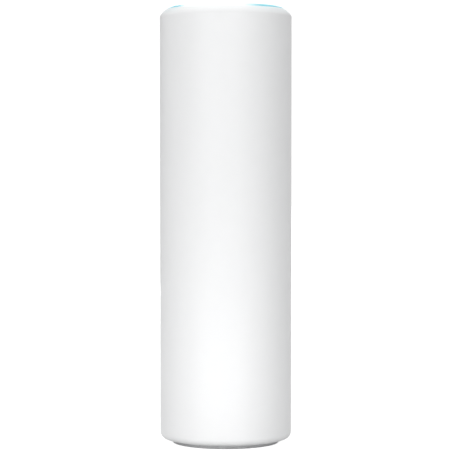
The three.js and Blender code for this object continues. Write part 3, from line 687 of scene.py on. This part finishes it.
def top_cap():
    rim = [
        (CAP["rim_inner"], CAP["low"]),
        (CAP["rim_inner"], CAP_LOW.z, 0.2),
        (CAP["rim_outer"], CAP_LOW.z, 0.2),
        (CAP["rim_outer"], CAP["low"]),
    ]
    edge = [(CAP_HIGH.x, CAP["low"], 0.15), (CAP_HIGH.x, CAP["rim_top"], 0.28)]
    crown = CAP_HIGH.z - CAP["rim_top"]
    dome = [(radius, CAP_HIGH.z - crown * (radius / CAP_HIGH.x) ** 2) for radius in CAP_LOOPS]
    outline = rounded([(0, CAP["low"]), *rim, *edge, *dome], closed=False)
    dress(lathe("top_cap_disc", outline, closed=False), "white_plastic", stands_for=["top_cap"])


# ---- Foot and base -------------------------------------------------------------------------------------
def cable_way():
    """What the cable notch takes out of the foot and the base."""
    return arch("notch", NOTCH["half_width"], -OVERSHOOT, (WELL["radius"] / 2, BODY_RADIUS))


def foot_ring():
    """A rubber ring with shallow round grooves under it, which are wider at their mouths."""
    mouth = GRIPS["width"] / 2
    crown = mouth * GRIPS["taper"]
    depth = GRIPS["depth"]
    grips = []
    for radius in reversed(GRIPS["radii"]):
        grips += [
            (radius + mouth, 0, 0.05),
            (radius + crown, depth, 0.05),
            (radius - crown, depth, 0.05),
            (radius - mouth, 0, 0.05),
        ]
    outline = rounded(
        [
            (FOOT_INNER, 0, 0.35),
            (FOOT_INNER, FOOT_HIGH.z, 0.15),
            (FOOT_HIGH.x, FOOT_HIGH.z, 0.15),
            (FOOT_HIGH.x, 0, 0.35),
            *grips,
        ],
        steps=4,
    )
    foot = lathe("foot_ring_rubber", outline)
    combine(foot, cable_way(), "DIFFERENCE")
    dress(foot, "grey_rubber", stands_for=["foot_ring"])


def base_cutters():
    """The notch, the port, the reset button's hole, and the holes for the screws and bosses."""
    low = WELL["ceiling"] - OVERSHOOT
    high = BASE_HIGH.z + OVERSHOOT
    reset = (RESET["x"], RESET["y"])
    port = footprint(GASKET_LOW, GASKET_HIGH, GASKET["base_gap"], GASKET["corner"] + GASKET["base_gap"])
    shaft = circle(SHAFT["radius"] + RESET["clearance"], *reset)
    head = circle(RESET["head"] + RESET["clearance"], *reset, steps=48)
    cutters = [
        cable_way(),
        prism("port", port, low, high),
        prism("shaft", shaft, low, high),
        prism("head", head, low, WELL["ceiling"] + RESET["recess_top"]),
    ]
    for place in BOSS_PLACES:
        cutters += [
            prism("screw_hole", circle(BASE_SCREW["hole"], *place), 0, BASE["disc_top"] + OVERSHOOT),
            prism("screw_recess", circle(BASE_SCREW["recess"], *place), 0, BASE_SCREW["recess_top"]),
            prism("passage", circle(BOSSES["passage"], *place), low, high),
        ]
    for side in (-1, 1):
        pilot = circle(CHASSIS_SCREW["pilot"], side * CHASSIS_SCREW["x"], steps=20)
        cutters.append(prism("pilot", pilot, WELL["ceiling"] + CHASSIS_SCREW["start"], high))
    return cutters


def base_housing():
    well_outside = WELL["radius"] + WELL["wall"]
    groove_inner = FOOT_INNER - GROOVE["side_gap"]
    groove_outer = FOOT_HIGH.x + GROOVE["side_gap"]
    groove_top = FOOT_HIGH.z + GROOVE["top_gap"]
    outline = rounded(
        [
            (0, WELL["ceiling"]),
            (WELL["radius"], WELL["ceiling"], 0.8),
            (WELL["radius"], UNDERSIDE, 0.5),
            (groove_inner, UNDERSIDE, 0.1),
            (groove_inner, groove_top, 0.1),
            (groove_outer, groove_top, 0.1),
            (groove_outer, UNDERSIDE, 0.15),
            (BASE_HIGH.x, UNDERSIDE, 0.25),
            (BASE_HIGH.x, BASE["disc_top"], 0.3),
            (well_outside, BASE["disc_top"], 0.5),
            (well_outside, WELL["ceiling"], 0.8),
            (BASE["flange_radius"], WELL["ceiling"], 0.3),
            (BASE["flange_radius"], BASE_HIGH.z, 0.3),
            (0, BASE_HIGH.z),
        ],
        closed=False,
    )
    base = lathe("base_housing_moulding", outline, closed=False)
    radii = (WELL["radius"] + JOIN_DEPTH, BASE_HIGH.x - HOOD["gap"] - OVERSHOOT)
    hood = arch("hood", NOTCH["half_width"] + HOOD["wall"], UNDERSIDE + HOOD["bottom"], radii)
    combine(base, hood, "UNION")
    for cutter in base_cutters():
        combine(base, cutter, "DIFFERENCE")
    dress(base, "base_plastic", stands_for=["base_housing"])


# ---- Network socket and reset button -------------------------------------------------------------------
def port_gasket():
    outside = footprint(GASKET_LOW, GASKET_HIGH, radius=GASKET["corner"])
    inside = footprint(JACK_LOW, JACK_HIGH, GASKET["jack_gap"], GASKET["hole_corner"])
    gasket = prism("port_gasket_frame", outside, GASKET_LOW.z, GASKET_HIGH.z, GASKET["edge"])
    hole = prism("hole", inside, GASKET_LOW.z - OVERSHOOT, GASKET_HIGH.z + OVERSHOOT)
    combine(gasket, hole, "DIFFERENCE")
    dress(gasket, "black_rubber", stands_for=["port_gasket"])


def plug_mouth(grown=0.0):
    """The stepped outline of a standard network plug's hole, with the latch's way at +Y."""
    width = PLUG["half_width"] + grown
    high = PLUG["high"] + grown
    right = [(width, PLUG["low"] - grown, 0.25), (width, high, 0.2)]
    for step_width, rise in LATCH_STEPS:
        x = step_width + grown
        right += [(x, right[-1][1], 0.15), (x, high + rise, 0.15)]
    left = [(-corner[0], *corner[1:]) for corner in reversed(right)]
    return rounded([*right, *left], steps=3)


def network_jack():
    """The socket's metal can and the black insert inside it, which the plug's hole is moulded in."""
    low = JACK_LOW.z
    high = JACK_HIGH.z
    wall = JACK["wall"]
    can = footprint(JACK_LOW, JACK_HIGH, radius=JACK["corner"])
    metal = prism("network_jack_can", can, low, high, JACK["edge"])
    room = footprint(JACK_LOW, JACK_HIGH, -wall, JACK["inner_corner"])
    combine(metal, prism("room", room, low + wall, high - wall), "DIFFERENCE")
    mouth = prism("mouth", plug_mouth(JACK["mouth_gap"]), low - OVERSHOOT, low + 2 * wall)
    combine(metal, mouth, "DIFFERENCE")
    dress(metal, "tinned_steel", stands_for=["network_jack"])

    margin = wall + INSERT["gap"]
    inner = footprint(JACK_LOW, JACK_HIGH, -margin, JACK["inner_corner"])
    insert = prism("network_jack_insert", inner, low + margin, high - margin, INSERT["edge"])
    cavity = prism("cavity", plug_mouth(), low - OVERSHOOT, low + PLUG["depth"])
    combine(insert, cavity, "DIFFERENCE")
    dress(insert, "black_plastic")


def contact_wire(x):
    """One sprung wire with a rounded tip, which leans out of the comb bar."""
    radius = WIRE["radius"]
    tip = -WIRES["length"]
    root = WIRES["root"]
    corners = [(0, tip), (radius, tip, WIRE["tip_rounding"]), (radius, root), (0, root)]
    wire = lathe("wire", rounded(corners, steps=4, closed=False), closed=False, segments=12)
    foot = Matrix.Translation((x * MM, WIRES["y"] * MM, COMB["z"] * MM))
    wire.data.transform(foot @ Matrix.Rotation(-WIRES["slant"], 4, "X"))
    return wire


def jack_contacts():
    """Eight wires on a comb bar at the back of the plug's cavity."""
    back, front = COMB["y"]
    bar = rectangle(-COMB["half_width"], back, COMB["half_width"], front, COMB["corner"])
    comb = prism("jack_contact_wires", bar, COMB["z"], COMB["z"] + COMB["height"], COMB["edge"])
    for i in range(WIRES["count"]):
        wire = contact_wire((i - (WIRES["count"] - 1) / 2) * WIRES["pitch"])
        combine(comb, wire, "UNION")
    dress(comb, "gold", stands_for=["jack_contacts"])


def reset_button():
    """A plunger with a dimpled face and a collar that keeps it in its hole."""
    face = BUTTON_LOW.z
    top = BUTTON_HIGH.z
    head_top = WELL["ceiling"] + RESET["head_top"]
    collar_low = top - SHAFT["collar_height"]
    outline = rounded(
        [
            *[(radius, face + rise, *rounding) for radius, rise, *rounding in DIMPLE],
            (RESET["head"], face, 0.35),
            (RESET["head"], head_top, 0.1),
            (SHAFT["radius"], head_top, 0.1),
            (SHAFT["radius"], collar_low),
            (SHAFT["collar"], collar_low, 0.05),
            (SHAFT["collar"], top, 0.08),
            (0, top),
        ],
        closed=False,
    )
    button = lathe("reset_button_plunger", outline, closed=False, segments=64)
    button.data.transform(Matrix.Translation((RESET["x"] * MM, RESET["y"] * MM, 0)))
    dress(button, "black_plastic", body="reset_plunger", stands_for=["reset_button"])


# ---- Studio --------------------------------------------------------------------------------------------
def camera():
    """In front, a little under the top of the tube, and aimed at its middle."""
    data = bpy.data.cameras.new("camera")
    data.lens = CAMERA["lens"]
    data.sensor_width = CAMERA["sensor"]
    data.clip_start, data.clip_end = CAMERA["clip"]
    made = bpy.data.objects.new("camera", data)
    made.location = CAMERA["place"]
    made.rotation_euler = (radians(90 - CAMERA["tilt"]), 0, 0)
    bpy.context.scene.collection.objects.link(made)
    bpy.context.scene.camera = made


def floor_material():
    """Pale, and white to the camera but for the patch that the foot shades.

    It glows half as much in reflections, and is clear from underneath, so that views from below show the
    underside.
    """
    nodes = Nodes("floor")
    nodes.shader.inputs["Roughness"].default_value = 0.9
    nodes.shader.inputs["Specular IOR Level"].default_value = 0.0
    nodes.link(nodes.mix(nodes.noise(30), (0.60, 0.60, 0.60), (0.62, 0.62, 0.62)), "Base Color")
    nodes.shader.inputs["Emission Color"].default_value = (1, 1, 1, 1)
    rays = nodes.add("ShaderNodeLightPath").outputs
    mirrored = nodes.math("MULTIPLY", rays["Is Glossy Ray"], FLOOR["mirrored"])
    seen = nodes.math("MAXIMUM", rays["Is Camera Ray"], mirrored)
    distance = nodes.add("ShaderNodeVectorMath", {0: nodes.place}, operation="LENGTH").outputs["Value"]
    foot_edge = FOOT_HIGH.x * MM
    clear_of_foot = nodes.remap(distance, 0.0, FLOOR["seen"], foot_edge - MM, foot_edge)
    nodes.link(nodes.math("MULTIPLY", seen, clear_of_foot), "Emission Strength")
    clear = nodes.add("ShaderNodeBsdfTransparent").outputs[0]
    below = nodes.add("ShaderNodeNewGeometry").outputs["Backfacing"]
    either = nodes.add("ShaderNodeMixShader", {0: below, 1: nodes.shader.outputs[0], 2: clear})
    output = nodes.tree.nodes["Material Output"]
    nodes.tree.links.new(either.outputs[0], output.inputs["Surface"])
    nodes.material.cycles.emission_sampling = "NONE"
    return nodes.material


def floor():
    """A wide floor a hair under the foot."""
    bm = bmesh.new()
    bmesh.ops.create_grid(bm, x_segments=8, y_segments=8, size=FLOOR["half_size"])
    mesh = bpy.data.meshes.new("floor")
    bm.to_mesh(mesh)
    bm.free()
    made = bpy.data.objects.new("floor", mesh)
    made.location.z = -FLOOR["drop"]
    bpy.context.scene.collection.objects.link(made)
    mesh.materials.append(floor_material())
    return made


def world():
    """White all round to the camera, and a dim, even fill on the object."""
    made = bpy.data.worlds.new("studio")
    made.use_nodes = True
    tree = made.node_tree
    background = tree.nodes["Background"]
    background.inputs["Color"].default_value = (1, 1, 1, 1)
    seen = tree.nodes.new("ShaderNodeLightPath").outputs["Is Camera Ray"]
    level = tree.nodes.new("ShaderNodeMapRange")
    tree.links.new(seen, level.inputs["Value"])
    level.inputs["To Min"].default_value = WORLD["fill"]
    level.inputs["To Max"].default_value = WORLD["seen"]
    tree.links.new(level.outputs["Result"], background.inputs["Strength"])
    bpy.context.scene.world = made


def around(angle, distance, height):
    """A place at an angle in degrees from the front, positive towards the right."""
    return distance * sin(radians(angle)), -distance * cos(radians(angle)), height


def soft_light(name, place, aim, size, power):
    """A rectangular area light, in metres and watts, that the camera doesn't see."""
    data = bpy.data.lights.new(name, "AREA")
    data.shape = "RECTANGLE"
    data.size, data.size_y = size
    data.energy = power
    made = bpy.data.objects.new(name, data)
    made.location = place
    made.rotation_euler = (Vector(aim) - Vector(place)).to_track_quat("-Z", "Y").to_euler()
    made.visible_camera = False
    bpy.context.scene.collection.objects.link(made)
    return made


def shine_through(light, ground):
    """Lets the light pass the ground, as if it stood on glass."""
    blockers = bpy.data.collections.new("shades_" + light.name)
    light.light_linking.blocker_collection = blockers
    blockers.objects.link(ground)
    blockers.collection_objects[0].light_linking.link_state = "EXCLUDE"


def studio():
    """A high and a low light on each side in front, one overhead, two behind and one under the well.

    The backdrop is white paper behind the node, on the right: it shows only where the surface reflects it.
    """
    camera()
    ground = floor()
    world()
    panel = (0.25, 0.12)
    strip = (0.06, 0.02)
    soft_light("high_left", around(-28, 0.45, 0.23), aim=(0, 0, 0.13), size=panel, power=0.53)
    soft_light("high_right", around(16, 0.45, 0.28), aim=(0, 0, 0.15), size=panel, power=0.61)
    soft_light("low_left", around(-28, 0.12, 0.012), aim=(0, 0, 0.008), size=strip, power=0.0130)
    soft_light("low_right", around(16, 0.12, 0.012), aim=(0, 0, 0.008), size=strip, power=0.0142)
    soft_light("overhead", (0, 0.15, 1.1), aim=(0, 0, 0.1), size=(1.1, 0.6), power=2.85)
    soft_light("rear_left", around(-120, 1.2, 0.55), aim=(0, 0, 0.08), size=(0.5, 0.5), power=1.6)
    soft_light("rear", around(180, 0.8, 0.3), aim=(0, 0, 0.08), size=(0.2, 0.4), power=1.7)
    backdrop = soft_light("backdrop", (1.1, 1.5, 0.3), aim=(0, 0, 0.1), size=(2.0, 2.0), power=5.0)
    backdrop.visible_diffuse = False
    well = soft_light("well", (0, 0, -0.005), aim=(0, 0, 0.02), size=(0.02, 0.02), power=0.004)
    well.visible_glossy = False
    shine_through(well, ground)
    bpy.context.scene.view_settings.view_transform = "Standard"


# ---- Assembly ------------------------------------------------------------------------------------------
studio()
for subpart in frame["record"]["subparts"]:
    node = frame["nodes"][subpart["node"]]
    node.material_slots[0].link = "OBJECT"
    node.material_slots[0].material = MATERIALS[subpart["material_slot"]]

outer_shell()
light_ring()
top_cap()
foot_ring()
base_housing()
port_gasket()
network_jack()
jack_contacts()
reset_button()

bpy.context.view_layer.update()
